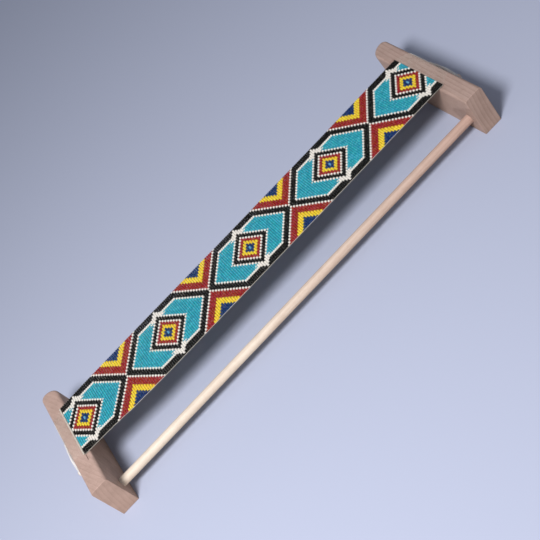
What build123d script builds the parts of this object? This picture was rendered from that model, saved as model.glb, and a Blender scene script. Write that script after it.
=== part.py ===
import os
from math import sqrt

from build123d import *

os.makedirs("parts", exist_ok=True)

# Frame: two end boards joined by two dowels
board_thickness = 19.05
board_height = 44.25
board_width = 150.0
inner_span = 442.5
outer_corner = 6.0
top_round = 3.0
edge_ease = 0.6
dowel_diameter = 9.0
dowel_inset = 13.5
dowel_height = 15.45
socket_depth = 12.0
glue_gap = 0.05

# Beadwork: beads are counted across the band and rows along it, and the rows lie
# closer together from one span between two eyes to the next
bead_columns = 55
bead_pitch = 1.395
bead_height = 2.1
eye_count = 5
eye_rows = 50
left_end_rows = 7
right_end_rows = 6
pitch_drop = 0.045
ledge_width = 5.5
ledge_margin = 2.5
end_gap = 0.15

# Warp threads and the pegs that hold their ends
thread_size = 0.3
weft_size = 0.7
weft_passes = 2
peg_diameter = 6.4
peg_spacing = 33.0
peg_height = 19.5
peg_lip = 1.2
peg_depth = 10.0
strand_size = 1.6
strand_pitch = 2.9
hank_runs = 5
slack = 0.4

# Rings of the pattern, in beads from the middle of an eye: one row counts as two beads
row_step = 2
light_blue_ring = 1.5
dark_blue_ring = 5.5
yellow_ring = 9.5
red_ring = 13.5
inner_white_ring = 16.5
black_ring = 19.5
eye_edge = 22.5
corner_edge = 26.5
field_edge = 40.5
field_line = 43.5
lattice_edge = 49.5
side_white = 52.5
side_red = 60.5
side_yellow = 68.5
field_half = 18.5
border_half = 21.5

# Places worked out from the sizes above
inner_face = inner_span / 2
outer_face = inner_face + board_thickness
near_end = -board_width / 2
inner_corner = board_thickness - outer_corner
thread_lift = thread_size / sqrt(2)
hank_start = 2 * thread_lift + slack + strand_size / 2
hank_end = hank_start + hank_runs * strand_pitch / 2
peg_reach = hank_end + strand_size / 2 + peg_lip
ledge_depth = bead_height / 2 - thread_lift
ledge_level = board_height - ledge_depth
band_half = inner_face + ledge_width - end_gap
band_width = bead_columns * bead_pitch
span_count = eye_count - 1
row_count = left_end_rows + span_count * eye_rows + 1 + right_end_rows
drop_rows = eye_rows * span_count * (span_count - 1) / 2 + (right_end_rows + 1 / 2) * (span_count - 1)
first_pitch = (2 * band_half + drop_rows * pitch_drop) / row_count
span_pitches = [first_pitch - span * pitch_drop for span in range(span_count)]
eye_places = [(left_end_rows + 1 / 2) * first_pitch - band_half]
for pitch in span_pitches:
    eye_places.append(eye_places[-1] + eye_rows * pitch)
# Row pitch on the left and on the right of each eye
eye_pitches = list(zip([first_pitch, *span_pitches], [*span_pitches, span_pitches[-1]]))
dowel_places = [-(board_width / 2 - dowel_inset), board_width / 2 - dowel_inset]
peg_places = [-peg_spacing / 2, peg_spacing / 2]


def finish(piece, name):
    piece.part.label = name
    export_step(piece.part, f"parts/{name}.step")


# End board: square at the near end, rounded in plan at the far end, more so on the inside
with BuildPart() as right_end_board:
    with BuildSketch():
        with BuildLine():
            far_end = board_width / 2
            tip = (inner_face + inner_corner, far_end)
            outer_start = (outer_face, far_end - outer_corner)
            inner_start = (inner_face, far_end - inner_corner)
            Polyline(outer_start, (outer_face, near_end), (inner_face, near_end), inner_start)
            TangentArc(inner_start, tip, tangent=(0, 1))
            TangentArc(tip, outer_start, tangent=(1, 0))
        make_face()
    extrude(amount=board_height)
    top_edges = faces().sort_by(Axis.Z)[-1].edges()
    fillet(top_edges.sort_by(Axis.Y)[1:], top_round)
    # Shallow ledge in the inner top edge that the ends of the beadwork lie on
    with Locations((inner_face, 0, board_height)):
        Box(2 * ledge_width, band_width + 2 * ledge_margin, 2 * ledge_depth, mode=Mode.SUBTRACT)
    fillet(faces().sort_by(Axis.Y)[0].edges().filter_by(Axis.Z), edge_ease)
    chamfer(faces().sort_by(Axis.Z)[0].edges(), edge_ease / 2)
    # Blind sockets for the dowels in the inner face and for the pegs in the outer face
    for place in dowel_places:
        with Locations(Location((inner_face, place, dowel_height), (0, -90, 0))):
            Hole(dowel_diameter / 2 + glue_gap, depth=socket_depth)
    for place in peg_places:
        with Locations(Location((outer_face, place, peg_height), (0, 90, 0))):
            Hole(peg_diameter / 2 + glue_gap, depth=peg_depth)
finish(right_end_board, "right_end_board")

with BuildPart() as left_end_board:
    mirror(right_end_board.part, about=Plane.YZ)
finish(left_end_board, "left_end_board")

# Dowels, seated at the bottom of their sockets
dowel_length = inner_span + 2 * socket_depth
for name, place in zip(("front_dowel", "rear_dowel"), dowel_places):
    with BuildPart() as dowel:
        with BuildSketch(Plane.YZ.offset(-dowel_length / 2)):
            with Locations((place, dowel_height)):
                Circle(dowel_diameter / 2)
        extrude(amount=dowel_length)
        chamfer(dowel.edges().filter_by(GeomType.CIRCLE), edge_ease)
    finish(dowel, name)

# Pegs: short dowels glued in the outer face, bevelled at the tip
with BuildPart() as right_tie_pegs:
    with BuildSketch(Plane.YZ.offset(outer_face - peg_depth)):
        with Locations(*[(place, peg_height) for place in peg_places]):
            Circle(peg_diameter / 2)
    extrude(amount=peg_depth + peg_reach)
    chamfer(edges().filter_by(GeomType.CIRCLE).group_by(Axis.X)[-1], peg_lip)
finish(right_tie_pegs, "right_tie_pegs")

with BuildPart() as left_tie_pegs:
    mirror(right_tie_pegs.part, about=Plane.YZ)
finish(left_tie_pegs, "left_tie_pegs")

# Hank: one strand wound round both pegs, climbing half a pitch along each run; the first
# and the last run lie on top
loop_radius = peg_diameter / 2 + slack + strand_size / 2
with BuildPart() as right_warp_hank:
    with BuildLine() as strand:
        depth = outer_face + hank_start
        top_end = Vector(depth, peg_spacing / 2, peg_height + loop_radius)
        Line(top_end + (0, strand_size, 0), top_end)
        for run in range(hank_runs):
            side = 1 if run % 2 == 0 else -1
            begin = Vector(depth, side * peg_spacing / 2, peg_height + side * loop_radius)
            middle = Vector(depth + strand_pitch / 4, 0, peg_height + side * loop_radius)
            end = Vector(depth + strand_pitch / 2, -side * peg_spacing / 2, peg_height + side * loop_radius)
            rise = TangentArc(begin, middle, tangent=(0, -side, 0))
            TangentArc(middle, end, tangent=rise % 1)
            depth = end.X
            if run < hank_runs - 1:
                turned = Vector(depth, end.Y, peg_height - side * loop_radius)
                crest = Vector(depth, end.Y - side * loop_radius, peg_height)
                ThreePointArc(end, crest, turned)
        Line(end, end - (0, side * strand_size, 0))
    with BuildSketch(Plane(origin=strand.line @ 0, z_dir=strand.line % 0)):
        Rectangle(strand_size, strand_size)
    sweep()
finish(right_warp_hank, "right_warp_hank")

# Least room between neighbouring turns, measured on points along the strand
point_count = 50 * hank_runs
points = [strand.line @ (index / point_count) for index in range(point_count + 1)]
half_turn = point_count // hank_runs
least_gap = min(
    (far - near).length - strand_size
    for index, near in enumerate(points)
    for far in points[index + half_turn:]
)
print(f"least gap between turns of the hank: {least_gap:.2f} mm")

with BuildPart() as left_warp_hank:
    mirror(right_warp_hank.part, about=Plane.YZ)
finish(left_warp_hank, "left_warp_hank")

# Warp tails: two neighbouring warps lie together, and each pair runs taut from the beadwork
# over the board and down to the hank
tail_level = board_height + thread_lift
tail_face = outer_face + thread_lift
tail_end = peg_height + loop_radius + strand_size / 2 + slack
tail_start = band_half + thread_size / 2
on_top = tail_face - tail_start
down_face = tail_level - tail_end
warp_pairs = (bead_columns + 1) // 2
gathered = peg_spacing / band_width
with BuildPart() as right_warp_tails:
    for pair in range(warp_pairs):
        start = (2 * pair + 1 / 2 - bead_columns / 2) * bead_pitch
        stop = start * gathered
        crossing = start + (stop - start) * on_top / (on_top + down_face)
        with BuildLine() as route:
            FilletPolyline(
                (tail_start, start, tail_level),
                (tail_face, crossing, tail_level),
                (tail_face, stop, tail_end),
                radius=top_round,
            )
        with BuildSketch(Plane(origin=route.line @ 0, x_dir=(0, 0, 1), z_dir=route.line % 0)):
            Rectangle(thread_size, thread_size)
        sweep(path=route.line)
finish(right_warp_tails, "right_warp_tails")

with BuildPart() as left_warp_tails:
    mirror(right_warp_tails.part, about=Plane.YZ)
finish(left_warp_tails, "left_warp_tails")

# Selvages: the outermost warp on each side of the band, bound to it by the turns of the weft
with BuildPart() as selvage_threads:
    for side in (1, -1):
        with Locations((0, side * (band_width + thread_size) / 2, ledge_level + bead_height / 2)):
            Box(2 * band_half, thread_size, thread_size)
finish(selvage_threads, "selvage_threads")

# Closing weft: the last passes of thread, laid over the warp tails beside the left end of the beads
with BuildPart() as closing_weft:
    with Locations((-tail_start, 0, board_height + 2 * thread_lift)):
        Box(
            weft_passes * weft_size,
            band_width + 2 * thread_size,
            weft_size,
            align=(Align.MAX, Align.CENTER, Align.MIN),
        )
finish(closing_weft, "closing_weft")


# Beadwork: each colour is the part of the band that its beads fill
bead_plane = Plane.XY.offset(ledge_level)


def diamonds(size, half=bead_columns / 2):
    # One diamond round the middle of every eye, cut to the strip within half of the middle line
    rise = size * bead_pitch
    with BuildSketch() as area:
        for place, (left_pitch, right_pitch) in zip(eye_places, eye_pitches):
            left_tip = place - size / row_step * left_pitch
            right_tip = place + size / row_step * right_pitch
            Polygon((right_tip, 0), (place, rise), (left_tip, 0), (place, -rise), align=None)
        Rectangle(2 * band_half, 2 * half * bead_pitch, mode=Mode.INTERSECT)
    return area.sketch


def bead_piece(name, *areas):
    # Each area is an outer shape followed by the shapes that are cut out of it
    with BuildPart() as piece:
        for outer, *holes in areas:
            with BuildSketch(bead_plane):
                add(outer)
                for hole in holes:
                    add(hole, mode=Mode.SUBTRACT)
            extrude(amount=bead_height)
    finish(piece, name)


with BuildSketch() as whole_band:
    Rectangle(2 * band_half, band_width)

eye = diamonds(eye_edge)
# Patches that the tips of the eyes spread to in the border
with BuildSketch() as corner:
    add(diamonds(corner_edge))
    Rectangle(2 * band_half, 2 * field_half * bead_pitch, mode=Mode.SUBTRACT)
field = diamonds(field_edge, field_half)
outlined_field = diamonds(field_line, border_half)
lattice = diamonds(lattice_edge)

bead_piece("turquoise_beads", (field, eye))
bead_piece(
    "black_beads",
    (lattice, outlined_field, eye, corner.sketch),
    (diamonds(black_ring), diamonds(inner_white_ring)),
)
bead_piece(
    "white_beads",
    (outlined_field, field, eye),
    (corner.sketch, outlined_field, eye),
    (eye, diamonds(black_ring)),
    (diamonds(inner_white_ring), diamonds(red_ring)),
    (diamonds(side_white), lattice),
)
bead_piece(
    "red_beads",
    (diamonds(red_ring), diamonds(yellow_ring)),
    (diamonds(side_red), diamonds(side_white)),
)
bead_piece(
    "yellow_beads",
    (diamonds(yellow_ring), diamonds(dark_blue_ring)),
    (diamonds(side_yellow), diamonds(side_red)),
)
bead_piece(
    "dark_blue_beads",
    (diamonds(dark_blue_ring), diamonds(light_blue_ring)),
    (whole_band.sketch, diamonds(side_yellow)),
)
bead_piece("light_blue_beads", (diamonds(light_blue_ring),))
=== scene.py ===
import math
import random

import bpy
import numpy as np
from mathutils import Matrix, Vector


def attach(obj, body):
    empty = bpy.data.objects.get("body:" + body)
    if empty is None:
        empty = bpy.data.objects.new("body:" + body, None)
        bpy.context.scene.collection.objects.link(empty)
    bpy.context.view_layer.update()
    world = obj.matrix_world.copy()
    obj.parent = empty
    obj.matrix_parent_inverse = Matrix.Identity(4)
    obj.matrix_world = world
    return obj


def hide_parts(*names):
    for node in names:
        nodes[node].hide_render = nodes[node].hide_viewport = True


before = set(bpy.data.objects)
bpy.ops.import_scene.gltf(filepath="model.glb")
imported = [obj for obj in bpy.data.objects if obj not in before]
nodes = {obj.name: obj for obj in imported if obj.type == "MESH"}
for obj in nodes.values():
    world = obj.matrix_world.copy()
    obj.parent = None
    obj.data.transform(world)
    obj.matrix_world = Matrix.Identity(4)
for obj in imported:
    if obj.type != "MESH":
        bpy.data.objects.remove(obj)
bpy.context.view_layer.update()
scene = bpy.context.scene
scene.view_settings.view_transform = "Standard"
mm = 0.001
dice = random.Random(34)
print("frame loaded:", len(nodes), "pieces")


# small helpers for node trees

def paint(red, green, blue):
    # colour given as 0-255 display values
    linear = []
    for level in (red / 255, green / 255, blue / 255):
        linear.append(level / 12.92 if level <= 0.04045 else ((level + 0.055) / 1.055) ** 2.4)
    return (*linear, 1.0)


def put(tree, kind, inputs=None, **settings):
    node = tree.nodes.new(kind)
    for name, value in settings.items():
        setattr(node, name, value)
    for name, value in (inputs or {}).items():
        if isinstance(value, bpy.types.NodeSocket):
            tree.links.new(value, node.inputs[name])
        else:
            node.inputs[name].default_value = value
    return node


def calc(tree, operation, first, second=0.0, clamp=False):
    return put(tree, "ShaderNodeMath", {0: first, 1: second}, operation=operation, use_clamp=clamp).outputs[0]


def blendColour(tree, factor, first, second, mode="MIX"):
    node = put(tree, "ShaderNodeMix", {0: factor, 6: first, 7: second}, data_type="RGBA", blend_type=mode)
    return node.outputs[2]


def spread(tree, value, low, high, outLow=0.0, outHigh=1.0):
    node = put(tree, "ShaderNodeMapRange", {"Value": value, "From Min": low, "From Max": high,
                                            "To Min": outLow, "To Max": outHigh})
    return node.outputs["Result"]


def stretchedNoise(tree, vector, stretch, detail=2.0, roughness=0.5):
    scaled = put(tree, "ShaderNodeVectorMath", {0: vector, 1: stretch}, operation="MULTIPLY")
    noise = put(tree, "ShaderNodeTexNoise", {"Vector": scaled.outputs[0], "Scale": 1.0,
                                             "Detail": detail, "Roughness": roughness})
    return noise.outputs[0]


def newGroup(name, inputs, outputs):
    group = bpy.data.node_groups.new(name, "ShaderNodeTree")
    for label, kind, value in inputs:
        socket = group.interface.new_socket(label, in_out="INPUT", socket_type="NodeSocket" + kind)
        if value is not None:
            socket.default_value = value
    for label, kind in outputs:
        group.interface.new_socket(label, in_out="OUTPUT", socket_type="NodeSocket" + kind)
    return group, put(group, "NodeGroupInput").outputs, put(group, "NodeGroupOutput")


def newMaterial(name):
    material = bpy.data.materials.new(name)
    material.use_nodes = True
    material.node_tree.nodes.clear()
    return material, material.node_tree


def closeMaterial(tree, inputs):
    shader = put(tree, "ShaderNodeBsdfPrincipled", inputs)
    put(tree, "ShaderNodeOutputMaterial", {"Surface": shader.outputs[0]})


# shared effects

# wood: each noise is stretched by (along the grain, across, across), per mm
woodTexture = {
    "sway": (0.012, 0.06, 0.06),
    "ragged": (0.05, 1.3, 1.3),
    "fibre": (0.07, 3.2, 3.2),
    "pores": (0.28, 6.0, 6.0),
    "patches": (0.02, 0.07, 0.07),
    "raggedness": 0.7,          # mm that the rings wander
    "lateWood": 2.5,            # pale early wood, dark narrow late wood
    "poreLimits": (0.6, 0.72),
    "fibreMiddle": 0.42,
    "patchMiddle": 0.4,
    "patchStrength": 0.6,
    "poreDepth": 0.6,
    "lateHeight": 0.35,
    "fibreLimits": (0.3, 0.7),
    "roughness": (0.5, 0.68),
}


def makeWoodGrain():
    # coordinates in mm, grain along X, pith on the X axis
    group, given, result = newGroup("woodGrain", [
        ("Vector", "Vector", None),
        ("Light Wood", "Color", paint(200, 178, 160)),
        ("Dark Wood", "Color", paint(140, 112, 95)),
        ("Ring Spacing", "Float", 2.6),
        ("Ring Strength", "Float", 0.45),
        ("Sway", "Float", 3.0),
        ("Fibre Strength", "Float", 0.5),
        ("Pore Strength", "Float", 0.4),
    ], [("Color", "Color"), ("Roughness", "Float"), ("Height", "Float")])
    vector = given["Vector"]
    sway = stretchedNoise(group, vector, woodTexture["sway"])
    ragged = stretchedNoise(group, vector, woodTexture["ragged"])
    across = put(group, "ShaderNodeVectorMath", {0: vector, 1: (0.0, 1.0, 1.0)}, operation="MULTIPLY")
    radius = put(group, "ShaderNodeVectorMath", {0: across.outputs[0]}, operation="LENGTH").outputs["Value"]
    swayed = calc(group, "ADD", radius, calc(group, "MULTIPLY", sway, given["Sway"]))
    swayed = calc(group, "ADD", swayed, calc(group, "MULTIPLY", ragged, woodTexture["raggedness"]))
    ring = calc(group, "FRACT", calc(group, "DIVIDE", swayed, given["Ring Spacing"]))
    late = calc(group, "POWER", ring, woodTexture["lateWood"])
    fibre = stretchedNoise(group, vector, woodTexture["fibre"], detail=4.0, roughness=0.65)
    pores = stretchedNoise(group, vector, woodTexture["pores"], detail=1.0)
    pores = spread(group, pores, *woodTexture["poreLimits"])
    patch = stretchedNoise(group, vector, woodTexture["patches"], detail=3.0)
    fibreTone = calc(group, "SUBTRACT", fibre, woodTexture["fibreMiddle"])
    patchTone = calc(group, "SUBTRACT", patch, woodTexture["patchMiddle"])
    patchDepth = calc(group, "MULTIPLY", patchTone, woodTexture["patchStrength"])
    depth = calc(group, "MULTIPLY", late, given["Ring Strength"])
    depth = calc(group, "ADD", depth, calc(group, "MULTIPLY", fibreTone, given["Fibre Strength"]))
    depth = calc(group, "ADD", depth, calc(group, "MULTIPLY", pores, given["Pore Strength"]))
    depth = calc(group, "ADD", depth, patchDepth, clamp=True)
    colour = blendColour(group, depth, given["Light Wood"], given["Dark Wood"])
    height = calc(group, "SUBTRACT", fibre, calc(group, "MULTIPLY", pores, woodTexture["poreDepth"]))
    height = calc(group, "ADD", height, calc(group, "MULTIPLY", late, woodTexture["lateHeight"]))
    roughness = spread(group, fibre, *woodTexture["fibreLimits"], *woodTexture["roughness"])
    group.links.new(colour, result.inputs["Color"])
    group.links.new(roughness, result.inputs["Roughness"])
    group.links.new(height, result.inputs["Height"])
    return group


def makeHandSoil():
    # faint soiling in uneven patches
    group, given, result = newGroup("handSoil", [
        ("Vector", "Vector", None),
        ("Color", "Color", (1.0, 1.0, 1.0, 1.0)),
        ("Soil", "Color", paint(120, 100, 88)),
        ("Amount", "Float", 0.2),
        ("Patch Size", "Float", 12.0),
    ], [("Color", "Color")])
    scaled = put(group, "ShaderNodeVectorMath", {0: given["Vector"]}, operation="SCALE")
    group.links.new(calc(group, "DIVIDE", 1.0, given["Patch Size"]), scaled.inputs["Scale"])
    noise = put(group, "ShaderNodeTexNoise", {"Vector": scaled.outputs[0], "Scale": 1.0,
                                              "Detail": 5.0, "Roughness": 0.6})
    patchLimits = (0.45, 0.75)
    mask = calc(group, "MULTIPLY", spread(group, noise.outputs[0], *patchLimits), given["Amount"])
    group.links.new(blendColour(group, mask, given["Color"], given["Soil"]), result.inputs["Color"])
    return group


def makeGlassToneAndBoreShade():
    # every bead differs a little in tone; its bore ends are rougher and painted darker, partly thread fuzz
    # and partly painted shade between the beads
    group, given, result = newGroup("glassToneAndBoreShade", [
        ("Glass", "Color", (0.5, 0.5, 0.5, 1.0)),
        ("Tone Spread", "Float", 0.25),
        ("Hue Spread", "Float", 0.02),
        ("Bore Shade", "Float", 0.18),
    ], [("Color", "Color"), ("Roughness", "Float")])
    tone = put(group, "ShaderNodeAttribute", attribute_name="beadTone").outputs["Fac"]
    rim = put(group, "ShaderNodeAttribute", attribute_name="beadRim").outputs["Fac"]
    leaning = calc(group, "SUBTRACT", tone, 0.5)
    value = calc(group, "ADD", 1.0, calc(group, "MULTIPLY", leaning, given["Tone Spread"]))
    hueSweep = 40.0     # radians over all tones: several waves, so that hue doesn't follow tone
    hueShift = calc(group, "SINE", calc(group, "MULTIPLY", tone, hueSweep))
    hue = calc(group, "ADD", 0.5, calc(group, "MULTIPLY", hueShift, given["Hue Spread"]))
    shifted = put(group, "ShaderNodeHueSaturation", {"Hue": hue, "Value": value, "Color": given["Glass"]})
    # painted shade: the rim at the bore ends is darkened towards near black, where neighbouring beads shade
    # it
    shade = calc(group, "MULTIPLY", calc(group, "POWER", rim, 2.0), given["Bore Shade"])
    boreShadeColour = (0.02, 0.02, 0.022, 1.0)
    colour = blendColour(group, shade, shifted.outputs[0], boreShadeColour)
    dullLimits = (-0.5, 1.5)
    roughLimits = (0.12, 0.5)
    roughness = spread(group, calc(group, "ADD", rim, leaning), *dullLimits, *roughLimits)
    group.links.new(colour, result.inputs["Color"])
    group.links.new(roughness, result.inputs["Roughness"])
    return group


def makeThreadTwist():
    # run: X once round the thread, Y along it in mm
    group, given, result = newGroup("threadTwist", [
        ("Run", "Vector", None),
        ("Lay", "Float", 1.2),
        ("Plies", "Float", 3.0),
    ], [("Groove", "Float"), ("Height", "Float")])
    parts = put(group, "ShaderNodeSeparateXYZ", {"Vector": given["Run"]})
    turns = calc(group, "ADD", calc(group, "MULTIPLY", parts.outputs["X"], given["Plies"]),
                 calc(group, "DIVIDE", parts.outputs["Y"], given["Lay"]))
    wave = calc(group, "ABSOLUTE", calc(group, "SINE", calc(group, "MULTIPLY", turns, math.pi)))
    # Groove also masks the painted shade in the creases between the plies
    group.links.new(calc(group, "SUBTRACT", 1.0, wave), result.inputs["Groove"])
    group.links.new(calc(group, "POWER", wave, 0.5), result.inputs["Height"])
    return group


woodGrain = makeWoodGrain()
handSoil = makeHandSoil()
glassToneAndBoreShade = makeGlassToneAndBoreShade()
threadTwist = makeThreadTwist()
print("shared effects ready")


# end boards, dowels and pegs: the CAD solids with their own wood

boardWood = {
    "left": {
        "light": paint(184, 159, 151),
        "dark": paint(134, 109, 100),
        "ringSpacing": 3.8,
        "ringStrength": 0.2,
        "sway": 3.0,
        "turn": -114.0,         # sloping grain
        "shift": (20.0, -20.0, 18.0),
        "soiling": 0.25,
    },
    "right": {
        "light": paint(177, 154, 147),
        "dark": paint(128, 104, 96),
        "ringSpacing": 3.8,
        "ringStrength": 0.36,
        "sway": 1.2,
        "turn": -88.0,
        "shift": (-45.0, 480.0, -12.0),
        "soiling": 0.25,
    },
}
dowelWood = {
    "light": paint(226, 217, 206),
    "dark": paint(198, 174, 156),
    # painted shade: darker, pinker wood tones for the rod's right end, which gets less light
    "shadedLight": paint(196, 166, 156),
    "shadedDark": paint(165, 133, 121),
    "shadeFade": (-0.07, 0.23),      # where the painted shade towards the right board begins and is full, in metres along X
    "ringSpacing": 1.9,
    "ringStrength": 0.3,
    "sway": 3.0,
    "turn": 0.0,
    "shift": (30.0, 42.0, -11.0),
    "soiling": 0.12,
}


def grainNode(tree, vector, look, light, dark):
    return put(tree, "ShaderNodeGroup", {
        "Vector": vector,
        "Light Wood": look[light],
        "Dark Wood": look[dark],
        "Ring Spacing": look["ringSpacing"],
        "Ring Strength": look["ringStrength"],
        "Sway": look["sway"],
    }, node_tree=woodGrain)


def woodMaterial(name, look):
    material, tree = newMaterial(name)
    place = put(tree, "ShaderNodeTexCoord").outputs["Object"]
    turned = put(tree, "ShaderNodeMapping", {
        "Vector": place,
        "Location": look["shift"],
        "Rotation": (0.0, 0.0, math.radians(look["turn"])),
        "Scale": (1 / mm, 1 / mm, 1 / mm),
    }).outputs[0]
    grain = grainNode(tree, turned, look, "light", "dark")
    colour = grain.outputs["Color"]
    if "shadedLight" in look:  # painted shade: the rod is painted darker and pinker towards the right board, standing in for the light falling off there
        along = put(tree, "ShaderNodeSeparateXYZ", {"Vector": place}).outputs["X"]
        shadedGrain = grainNode(tree, turned, look, "shadedLight", "shadedDark")
        colour = blendColour(tree, spread(tree, along, *look["shadeFade"]), colour, shadedGrain.outputs["Color"])
    soiled = put(tree, "ShaderNodeGroup", {"Vector": turned, "Color": colour, "Amount": look["soiling"]},
                 node_tree=handSoil)
    bump = put(tree, "ShaderNodeBump", {"Height": grain.outputs["Height"],
                                        "Strength": 0.35, "Distance": 0.00025})
    closeMaterial(tree, {"Base Color": soiled.outputs["Color"], "Roughness": grain.outputs["Roughness"],
                         "Normal": bump.outputs[0], "Specular IOR Level": 0.3})
    return material


def dress(node, material):
    mesh = nodes[node].data
    mesh.materials.clear()
    mesh.materials.append(material)


for side in ("left", "right"):
    dress(side + "_end_board", woodMaterial(side + "BoardWood", boardWood[side]))
rodWood = woodMaterial("dowelBirch", dowelWood)
for node in ("front_dowel", "rear_dowel", "left_tie_pegs", "right_tie_pegs"):
    dress(node, rodWood)
print("wood dressed")


# the band: rows and columns of the beadwork, in mm

band = {
    "columns": 55,
    "beadPitch": 1.395,
    "middle": 44.462,      # height of the bead holes
    "half": 226.6,         # from the middle of the loom to either end of the beadwork
    "eyes": 5,
    "eyeRows": 50,
    "leftRows": 7,
    "rightRows": 6,
    "pitchDrop": 0.045,    # rows lie closer from span to span
    # the band isn't quite straight: its left end is pulled away from the near side
    "near": ((-226.6, -190.0, -165.0, -120.0, 0.0, 226.6), (-32.6, -34.1, -36.4, -37.8, -38.2, -37.9)),
    "far": ((-226.6, -190.0, -110.0, 0.0, 110.0, 226.6), (39.6, 40.0, 39.5, 37.9, 37.2, 37.4)),
}


def layRows():
    spans = band["eyes"] - 1
    rows = band["leftRows"] + spans * band["eyeRows"] + 1 + band["rightRows"]
    dropRows = band["eyeRows"] * spans * (spans - 1) / 2 + (band["rightRows"] + 0.5) * (spans - 1)
    pitch = (2 * band["half"] + dropRows * band["pitchDrop"]) / rows
    places = [pitch / 2 - band["half"]]
    for row in range(rows - 1):
        span = min(max((row - band["leftRows"]) // band["eyeRows"], 0), spans - 1)
        places.append(places[-1] + pitch - span * band["pitchDrop"])
    return places


def bandEdges(x):
    return float(np.interp(x, *band["near"])), float(np.interp(x, *band["far"]))


def columnPlace(x, column):
    # column counts beads from the near edge; whole numbers are the warps between them
    near, far = bandEdges(x)
    return near + (far - near) * column / band["columns"]


rowPlaces = layRows()
eyeRows = [band["leftRows"] + eye * band["eyeRows"] for eye in range(band["eyes"])]

# rings of the pattern, in beads from the middle of an eye
pattern = {
    "rowStep": 2,          # beads that one row counts as
    "eye": ((1, "light_blue"), (5, "dark_blue"), (9, "yellow"), (13, "red"),
            (15, "white"), (20, "black"), (22, "white")),
    "cornerEdge": 26,
    "cornerHalf": 17,
    "fieldEdge": 41,
    "fieldLine": 43,
    "fieldHalf": 19,
    "borderHalf": 21,
    "outside": ((50, "black"), (52, "white"), (61, "red"), (68, "yellow"), (99, "dark_blue")),
}


def beadColour(row, column):
    aside = abs(column - band["columns"] // 2)
    ring = aside + pattern["rowStep"] * min(abs(row - eye) for eye in eyeRows)
    for limit, colour in pattern["eye"]:
        if ring <= limit:
            return colour
    if ring <= pattern["fieldLine"]:
        if aside > pattern["borderHalf"]:
            return "white" if ring <= pattern["cornerEdge"] else "black"
        inside = ring <= pattern["fieldEdge"] and aside <= pattern["fieldHalf"]
        corner = ring <= pattern["cornerEdge"] and aside > pattern["cornerHalf"]
        return "turquoise" if inside and not corner else "white"
    for limit, colour in pattern["outside"]:
        if ring <= limit:
            return colour


# seed beads: rounded glass rings, bore across the band

bead = {
    "profile": ((-0.68, 0.52), (-0.48, 1.03), (0.48, 1.03), (0.68, 0.52)),   # along the bore, out from it
    "across": 1.06,        # wider along the band than high, so that rows touch
    "segments": 8,
    "sizeSpread": 0.045,
    "lengthSpread": 0.05,
    "rimBelow": 0.9,       # profile points nearer the bore than this are its rim, which is rougher and painted darker as painted shade
    "wander": 0.045,       # mm off its place along the band, and half of it across
    "bob": 0.02,           # mm up or down
    "lean": 0.05,          # radians
    "mostInPiece": 3000,   # a longer string is split into pieces
}
glass = {
    "turquoise": {"colour": paint(42, 162, 184), "spread": 0.34, "shine": 0.4},
    "black": {"colour": paint(16, 17, 17), "spread": 0.5, "shine": 0.2},
    "white": {"colour": paint(232, 230, 226), "spread": 0.1, "shine": 0.4},
    "red": {"colour": paint(148, 28, 26), "spread": 0.28, "shine": 0.35},
    "yellow": {"colour": paint(232, 206, 54), "spread": 0.14, "shine": 0.4},
    "dark_blue": {"colour": paint(8, 50, 106), "spread": 0.32, "shine": 0.35},
    "light_blue": {"colour": paint(88, 158, 205), "spread": 0.2, "shine": 0.4},
}


def glassMaterial(name, look):
    material, tree = newMaterial(name)
    tone = put(tree, "ShaderNodeGroup", {"Glass": look["colour"], "Tone Spread": look["spread"],
                                         "Hue Spread": 0.012}, node_tree=glassToneAndBoreShade)
    closeMaterial(tree, {"Base Color": tone.outputs["Color"], "Roughness": tone.outputs["Roughness"],
                         "IOR": 1.51, "Specular IOR Level": look["shine"]})
    return material


def threadBeads():
    places = {colour: [] for colour in glass}
    for row, x in enumerate(rowPlaces):
        near, far = bandEdges(x)
        fill = (far - near) / band["columns"] / band["beadPitch"]
        for column in range(band["columns"]):
            places[beadColour(row, column)].append((
                x + dice.uniform(-1, 1) * bead["wander"],
                columnPlace(x, column + 0.5) + dice.uniform(-1, 1) * bead["wander"] / 2,
                band["middle"] + dice.uniform(-1, 1) * bead["bob"],
                1.0 - dice.random() * bead["sizeSpread"],
                fill * (1.0 - dice.random() * bead["lengthSpread"]),
                dice.uniform(0, math.tau),
                dice.uniform(-1, 1) * bead["lean"],
                dice.random(),
            ))
    return places


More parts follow.
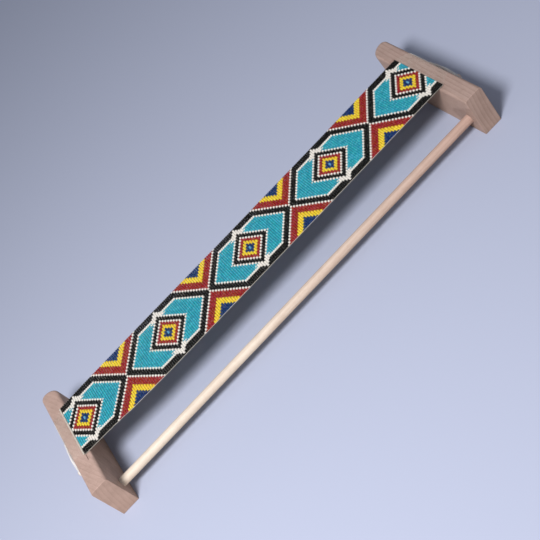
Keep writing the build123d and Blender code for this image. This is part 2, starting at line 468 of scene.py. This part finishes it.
def beadMesh(name, rows):
    profile = np.array(bead["profile"])
    rings, segments = len(profile), bead["segments"]
    x, y, z, size, length, spin, lean, tone = np.array(rows).T[:, :, None, None]
    angle = np.arange(segments)[None, None, :] * math.tau / segments + spin
    around = profile[None, :, 1, None] * size
    localX, localZ = bead["across"] * around * np.cos(angle), around * np.sin(angle)
    localY = profile[None, :, 0, None] * length + 0 * angle
    points = np.stack((x + localX - lean * localY, y + localY + lean * localX, z + localZ), axis=-1)
    ring, segment = np.meshgrid(np.arange(rings), np.arange(segments), indexing="ij")
    nextRing, nextSegment = (ring + 1) % rings, (segment + 1) % segments
    quads = np.stack((ring * segments + segment, ring * segments + nextSegment,
                      nextRing * segments + nextSegment, nextRing * segments + segment), axis=-1)
    starts = np.arange(len(rows))[:, None, None] * rings * segments
    faces = (quads.reshape(-1, 4) + starts).reshape(-1, 4)
    mesh = bpy.data.meshes.new(name)
    mesh.from_pydata((points.reshape(-1, 3) * mm).tolist(), [], faces.tolist())
    mesh.polygons.foreach_set("use_smooth", [True] * len(mesh.polygons))
    # one tile of the bake map for each bead
    tiles = math.ceil(math.sqrt(len(rows)))
    margin = 0.06
    corner = np.stack((np.stack((segment, segment + 1, segment + 1, segment), -1) / segments,
                       np.stack((ring, ring, ring + 1, ring + 1), -1) / rings), axis=-1).reshape(-1, 2)
    tile = np.stack((np.arange(len(rows)) % tiles, np.arange(len(rows)) // tiles), axis=-1)
    flat = (tile[:, None, :] + margin + (1 - 2 * margin) * corner[None]) / tiles
    mesh.uv_layers.new(name="OFBake").uv.foreach_set("vector", flat.astype(np.float32).ravel())
    toneLayer = mesh.attributes.new("beadTone", "FLOAT", "POINT")
    toneLayer.data.foreach_set("value", np.repeat(tone.ravel(), rings * segments).astype(np.float32))
    rim = (profile[:, 1] < bead["rimBelow"]).astype(float)
    rimLayer = mesh.attributes.new("beadRim", "FLOAT", "POINT")
    rimLayer.data.foreach_set("value", np.tile(np.repeat(rim, segments), len(rows)).astype(np.float32))
    mesh.update()
    return mesh


def addPiece(name, mesh, material, slot, *replaced):
    mesh.materials.append(material)
    piece = bpy.data.objects.new(name, mesh)
    scene.collection.objects.link(piece)
    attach(piece, "root")
    if replaced:
        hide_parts(*replaced)


for colour, rows in threadBeads().items():
    material = glassMaterial(colour + "Glass", glass[colour])
    parts = math.ceil(len(rows) / bead["mostInPiece"])
    share = math.ceil(len(rows) / parts)
    for part in range(parts):
        name = colour + "_seed_beads" + ("_" + str(part + 1) if parts > 1 else "")
        mesh = beadMesh(name, rows[part * share:(part + 1) * share])
        addPiece(name, mesh, material, colour + "_glass", colour + "_beads")
    print(colour, "beads:", len(rows))


# threads: smooth routes, swept into round or plied thread

def smoothRuns(routes, steps):
    # routes of equal point count, in mm; the points come from their own splines
    curve = bpy.data.curves.new("route", "CURVE")
    curve.dimensions = "3D"
    for route in routes:
        spline = curve.splines.new("NURBS")
        spline.points.add(len(route) - 1)
        for point, place in zip(spline.points, route):
            point.co = (*place, 1.0)
        spline.order_u = 3
        spline.use_endpoint_u = True
        spline.resolution_u = steps
    holder = bpy.data.objects.new("route", curve)
    mesh = bpy.data.meshes.new_from_object(holder)
    points = np.zeros(len(mesh.vertices) * 3, np.float32)
    mesh.vertices.foreach_get("co", points)
    bpy.data.objects.remove(holder)
    bpy.data.meshes.remove(mesh)
    bpy.data.curves.remove(curve)
    return points.reshape(len(routes), -1, 3).astype(float)


def threadFrames(runs):
    # tangent, and two directions across that don't turn along the thread
    tangent = np.gradient(runs, axis=1)
    tangent /= np.linalg.norm(tangent, axis=2, keepdims=True)
    nearlyUpright = 0.9
    start = np.where(np.abs(tangent[:, :1, 2:]) < nearlyUpright, (0.0, 0.0, 1.0), (1.0, 0.0, 0.0))
    across = np.zeros_like(runs)
    carried = start[:, 0]
    for step in range(runs.shape[1]):
        line = tangent[:, step]
        carried = carried - line * np.sum(carried * line, axis=1, keepdims=True)
        carried = carried / np.linalg.norm(carried, axis=1, keepdims=True)
        across[:, step] = carried
    length = np.linalg.norm(np.diff(runs, axis=1), axis=2).cumsum(axis=1)
    length = np.concatenate((np.zeros((len(runs), 1)), length), axis=1)
    return across, np.cross(tangent, across), length


def ply(runs, plies, orbit, lay, core=False):
    # strands laid round each run like a rope
    across, beside, length = threadFrames(runs)
    strands = [runs] if core else []
    for strand in range(plies):
        angle = (length / lay + strand / plies)[:, :, None] * math.tau
        strands.append(runs + orbit * (np.cos(angle) * across + np.sin(angle) * beside))
    return np.concatenate(strands)


def sweepThreads(runs, radius, sides=6):
    across, beside, length = threadFrames(runs)
    angle = (np.arange(sides) * math.tau / sides)[:, None]
    outward = np.cos(angle) * across[:, :, None] + np.sin(angle) * beside[:, :, None]
    points = runs[:, :, None] + radius * outward
    count, steps = runs.shape[:2]
    thread, step, side = np.meshgrid(np.arange(count), np.arange(steps - 1), np.arange(sides), indexing="ij")
    base = (thread * steps + step) * sides
    onward = (side + 1) % sides
    faces = np.stack((base + side, base + onward, base + sides + onward, base + sides + side), -1)
    low, high = length[thread, step], length[thread, step + 1]
    turn = np.stack((side, side + 1, side + 1, side), -1) / sides
    run = np.stack((turn, np.stack((low, low, high, high), -1)), -1)
    ends = []
    for first in range(0, count * steps, steps):
        last = first + steps - 1
        ends.append(list(range(first * sides, (first + 1) * sides))[::-1])
        ends.append(list(range(last * sides, (last + 1) * sides)))
    allFaces = faces.reshape(-1, 4).tolist() + ends
    allRuns = np.concatenate((run.reshape(-1, 2), np.zeros((len(ends) * sides, 2))))
    return points.reshape(-1, 3) * mm, allFaces, allRuns


def threadMesh(name, *sweeps):
    points, faces, runs, offset = [], [], [], 0
    for sweepPoints, sweepFaces, sweepRun in sweeps:
        faces += [[corner + offset for corner in face] for face in sweepFaces]
        points.append(sweepPoints)
        runs.append(sweepRun)
        offset += len(sweepPoints)
    mesh = bpy.data.meshes.new(name)
    mesh.from_pydata(np.concatenate(points).tolist(), [], faces)
    mesh.polygons.foreach_set("use_smooth", [len(face) == 4 for face in faces])
    runLayer = mesh.uv_layers.new(name="threadRun")
    runLayer.uv.foreach_set("vector", np.concatenate(runs).astype(np.float32).ravel())
    mesh.update()
    return mesh


threadLook = {
    "white": paint(236, 234, 228),
    # painted shade: colour of the grooves between the plies, where shade falls
    "grooveShade": paint(186, 182, 172),
    "soil": paint(170, 160, 146),
    "soiling": 0.3,
    "lay": 0.9,            # mm along the thread from groove to groove
    "plies": 3.0,
}
hankLook = {
    "white": paint(236, 236, 239),
    "grooveShade": paint(208, 208, 213),
    "soil": paint(188, 186, 187),
    "soiling": 0.15,
    "lay": 0.9,
    "plies": 3.0,
}


def threadMaterial(name, look):
    material, tree = newMaterial(name)
    run = put(tree, "ShaderNodeUVMap", uv_map="threadRun").outputs[0]
    twist = put(tree, "ShaderNodeGroup", {"Run": run, "Lay": look["lay"], "Plies": look["plies"]},
                node_tree=threadTwist)
    place = put(tree, "ShaderNodeTexCoord").outputs["Object"]
    large = put(tree, "ShaderNodeVectorMath", {0: place, "Scale": 1 / mm}, operation="SCALE").outputs[0]
    # painted shade: the grooves between the plies are painted darker
    colour = blendColour(tree, twist.outputs["Groove"], look["white"], look["grooveShade"])
    soiled = put(tree, "ShaderNodeGroup", {"Vector": large, "Color": colour, "Soil": look["soil"],
                                           "Amount": look["soiling"], "Patch Size": 4.0}, node_tree=handSoil)
    bump = put(tree, "ShaderNodeBump", {"Height": twist.outputs["Height"],
                                        "Strength": 0.6, "Distance": 0.00005})
    closeMaterial(tree, {"Base Color": soiled.outputs["Color"], "Normal": bump.outputs[0],
                         "Roughness": 0.55, "Sheen Weight": 0.25, "Sheen Roughness": 0.4})
    return material


beadThread = threadMaterial("waxedThread", threadLook)
hankThread = threadMaterial("bleachedThread", hankLook)

# warps through the band, and the selvages with the turns of the weft; steps are points for each stretch
warp = {
    "radius": 0.11,
    "sides": 5,
    "steps": 3,
    "stations": (-226.7, -208.0, -190.0, -178.0, -165.0, -142.0, -120.0, -110.0, -60.0,
                 0.0, 60.0, 110.0, 170.0, 226.7),
}
selvage = {
    "radius": 0.14,
    "steps": 4,
    "proud": 0.16,         # selvage warp outside the last bead
    "weftRadius": 0.1,
    "weftSides": 5,
    "weftSteps": 3,
}


def warpRoute(column, aside=0.0):
    return [(x, columnPlace(x, column) + aside, band["middle"]) for x in warp["stations"]]


innerWarps = smoothRuns([warpRoute(column) for column in range(1, band["columns"])], warp["steps"])
addPiece("band_warps", threadMesh("bandWarps", sweepThreads(innerWarps, warp["radius"], warp["sides"])),
         beadThread, "thread")


def turnRound(half, start, startEdge, stop, stopEdge, way):
    # out over the selvage and back under it
    there = [(start + along, startEdge + way * out, band["middle"] + up) for along, out, up in half]
    back = [(stop - along, stopEdge + way * out, band["middle"] - up) for along, out, up in reversed(half)]
    return there + back


def weftTurns():
    reach = selvage["proud"] + selvage["radius"] + selvage["weftRadius"]
    # half of a turn: along the band, out from its edge, up
    leave = (0.0, -0.5, 0.2)
    overNear = (leave, (0.1, 0.1, 0.34), (0.1, reach, 0.3))
    overFar = (leave, (0.3, 0.0, 0.36), (0.7, reach, 0.25))
    turns = []
    # near side: round the selvage in the same row; far side: on to the next row
    for x in rowPlaces:
        near = bandEdges(x)[0]
        turns.append(turnRound(overNear, x, near, x, near, -1))
    for x, after in zip(rowPlaces, rowPlaces[1:]):
        turns.append(turnRound(overFar, x, bandEdges(x)[1], after, bandEdges(after)[1], 1))
    return turns


outerRoutes = [warpRoute(0, -selvage["proud"]), warpRoute(band["columns"], selvage["proud"])]
outerWarps = sweepThreads(smoothRuns(outerRoutes, selvage["steps"]), selvage["radius"])
weftRuns = smoothRuns(weftTurns(), selvage["weftSteps"])
weftSweep = sweepThreads(weftRuns, selvage["weftRadius"], selvage["weftSides"])
addPiece("selvages", threadMesh("selvages", outerWarps, weftSweep), beadThread, "thread", "selvage_threads")

# closing weft: the last two passes, each plied from two threads and laid over the left warp tails
closing = {
    "passes": (-227.1, -227.8),
    "height": 45.02,
    "radius": 0.19,
    "plies": 2,
    "orbit": 0.16,
    "lay": 2.2,
    "ripple": 0.05,        # up and down from warp to warp
    "wander": 0.05,
    "steps": 10,
}


def closingRoutes():
    routes = []
    for x in closing["passes"]:
        routes.append([(x + dice.uniform(-1, 1) * closing["wander"], columnPlace(-band["half"], column),
                        closing["height"] + closing["ripple"] * (1 if column % 2 else -1))
                       for column in range(band["columns"] + 1)])
    return routes


closingRuns = smoothRuns(closingRoutes(), closing["steps"])
closingPlies = ply(closingRuns, closing["plies"], closing["orbit"], closing["lay"])
addPiece("last_weft", threadMesh("lastWeft", sweepThreads(closingPlies, closing["radius"])),
         beadThread, "thread", "closing_weft")

# hank: the gathered warp wound round both pegs
hank = {
    "runs": 7,             # first layer: its first and last run lie on top
    "first": 241.924,      # from the middle of the loom
    "pitch": 1.86,
    "fan": 1.3,            # turns spread between the pegs
    "crown": 0.8,          # runs bow between the pegs
    "overRuns": 4,         # wound back over the first layer
    "overPitch": 1.9,
    "overLoop": 6.3,
    "pegSpacing": 33.0,
    "pegHeight": 19.5,
    "loop": 4.4,
    "overhang": 1.0,       # strand ends past the pegs
    "plies": 6,
    "radius": 0.3,
    "orbit": 0.6,
    "lay": 12.0,
    "loose": 0.12,
    "steps": 11,
}
# warp tails: taut from the beadwork over the board and down to the hank
tails = {
    "radius": 0.045,
    "sides": 5,
    "steps": 6,
    "start": 226.5,
    "face": 240.512,       # thread on the outer face
    "level": band["middle"],   # thread on the top
    "end": 24.7,
    "round": 3.0,          # the board's rounded edge
    "gather": hank["pegSpacing"] / (band["columns"] * band["beadPitch"]),
}


def tailRoutes(side):
    routes = []
    onTop, down = tails["face"] - tails["start"], tails["level"] - tails["end"]
    for column in range(band["columns"] + 1):
        begin = columnPlace(side * band["half"], column)
        stop = begin * tails["gather"]
        slope = (stop - begin) / (onTop + down)
        bend = 2 * tails["round"]
        routes.append([
            (side * tails["start"], begin, tails["level"]),
            (side * (tails["face"] - bend), begin + slope * (onTop - bend), tails["level"]),
            (side * tails["face"], begin + slope * onTop, tails["level"]),
            (side * tails["face"], begin + slope * (onTop + bend), tails["level"] - bend),
            (side * tails["face"], stop, tails["end"]),
        ])
    return routes


def hankRoute(side):
    def at(depth, y, z):
        looseY = dice.uniform(-1, 1) * hank["loose"]
        looseZ = dice.uniform(-1, 1) * hank["loose"]
        return (side * depth, y + looseY, z + looseZ)

    half, depth, middle = hank["pegSpacing"] / 2, hank["first"], hank["pegHeight"]
    last = hank["runs"] + hank["overRuns"] - 1
    route = [at(depth, half + hank["overhang"], middle + hank["loop"])]
    for run in range(last + 1):
        way = 1 if run % 2 == 0 else -1
        over = run >= hank["runs"]
        loop = hank["overLoop"] if over else hank["loop"]
        after = hank["overLoop"] if run >= hank["runs"] - 1 else hank["loop"]
        climb = -hank["overPitch"] / 2 if over else hank["pitch"] / 2
        level = middle + way * loop
        between = hank["first"] + (depth + climb / 2 - hank["first"]) * hank["fan"]
        route += [at(depth, way * half, level), at(between, 0.0, level + way * hank["crown"])]
        depth += climb
        route.append(at(depth, -way * half, level))
        if run < last:
            outside = -way * (half + after)
            route += [at(depth, outside, level), at(depth, outside, middle - way * after)]
    route.append(at(depth, -way * (half + hank["overhang"]), level))
    return route


for side, word in ((-1, "left"), (1, "right")):
    runs = smoothRuns(tailRoutes(side), tails["steps"])
    addPiece(word + "_tails", threadMesh(word + "Tails", sweepThreads(runs, tails["radius"], tails["sides"])),
             beadThread, "thread", word + "_warp_tails")
    strand = smoothRuns([hankRoute(side)], hank["steps"])
    wound = ply(strand, hank["plies"], hank["orbit"], hank["lay"], core=True)
    addPiece(word + "_hank", threadMesh(word + "Hank", sweepThreads(wound, hank["radius"])),
             hankThread, "thread", word + "_warp_hank")
print("threads laid")


# floor, light and camera

stage = {
    "floorHalf": 4.0,                   # metres
    "floor": paint(176, 185, 211),
    "bounce": paint(198, 192, 186),     # what the floor throws back onto the loom
    "world": (0.95, 0.96, 1.0, 1.0),
    "worldLight": 0.27,
}
keyLamp = {
    "place": (-480.0, -630.0, 1070.0),
    "aim": (0.0, 0.0, 20.0),
    "size": 400.0,
    "watts": 19.2,
    "colour": (1.0, 0.95, 0.9),
}
view = {
    "place": (6.123, -703.605, 601.764),
    "elevation": 40.097,   # degrees down onto the loom
    "roll": -46.486,
    "azimuth": 0.204,
    "lens": 65.85,
}

floorMesh = bpy.data.meshes.new("floor")
edge = stage["floorHalf"]
corners = [(-edge, -edge, 0), (edge, -edge, 0), (edge, edge, 0), (-edge, edge, 0)]
floorMesh.from_pydata(corners, [], [(0, 1, 2, 3)])
floorMaterial, floorTree = newMaterial("paleFloor")
rays = put(floorTree, "ShaderNodeLightPath").outputs
seen = calc(floorTree, "ADD", rays["Is Camera Ray"], rays["Is Glossy Ray"], clamp=True)
seen = calc(floorTree, "ADD", seen, rays["Is Transmission Ray"], clamp=True)
closeMaterial(floorTree, {"Base Color": blendColour(floorTree, seen, stage["bounce"], stage["floor"]),
                          "Roughness": 0.9, "Specular IOR Level": 0.1})
floorMesh.materials.append(floorMaterial)
floor = bpy.data.objects.new("floor", floorMesh)
scene.collection.objects.link(floor)

sky = bpy.data.worlds.new("softRoom")
sky.use_nodes = True
sky.node_tree.nodes["Background"].inputs["Color"].default_value = stage["world"]
sky.node_tree.nodes["Background"].inputs["Strength"].default_value = stage["worldLight"]
scene.world = sky

lamp = bpy.data.lights.new("key", "AREA")
lamp.shape = "DISK"
lamp.size = keyLamp["size"] * mm
lamp.energy = keyLamp["watts"]
lamp.color = keyLamp["colour"]
key = bpy.data.objects.new("key", lamp)
key.location = Vector(keyLamp["place"]) * mm
aim = Vector(keyLamp["aim"]) - Vector(keyLamp["place"])
key.rotation_euler = aim.to_track_quat("-Z", "Y").to_euler()
scene.collection.objects.link(key)

lens = bpy.data.cameras.new("camera")
lens.sensor_width = 36.0
lens.lens = view["lens"]
lens.clip_start = 0.01
camera = bpy.data.objects.new("camera", lens)
down, roll = math.radians(view["elevation"]), math.radians(view["roll"])
forward = Vector((0, math.cos(down), -math.sin(down)))
level, upright = Vector((1, 0, 0)), Vector((0, math.sin(down), math.cos(down)))
rightward = math.cos(roll) * level + math.sin(roll) * upright
upward = math.cos(roll) * upright - math.sin(roll) * level
turned = Matrix((rightward, upward, -forward)).transposed()
turned = Matrix.Rotation(math.radians(view["azimuth"]), 3, "Z") @ turned
camera.matrix_world = Matrix.Translation(Vector(view["place"]) * mm) @ turned.to_4x4()
scene.collection.objects.link(camera)
scene.camera = camera
print("stage set")
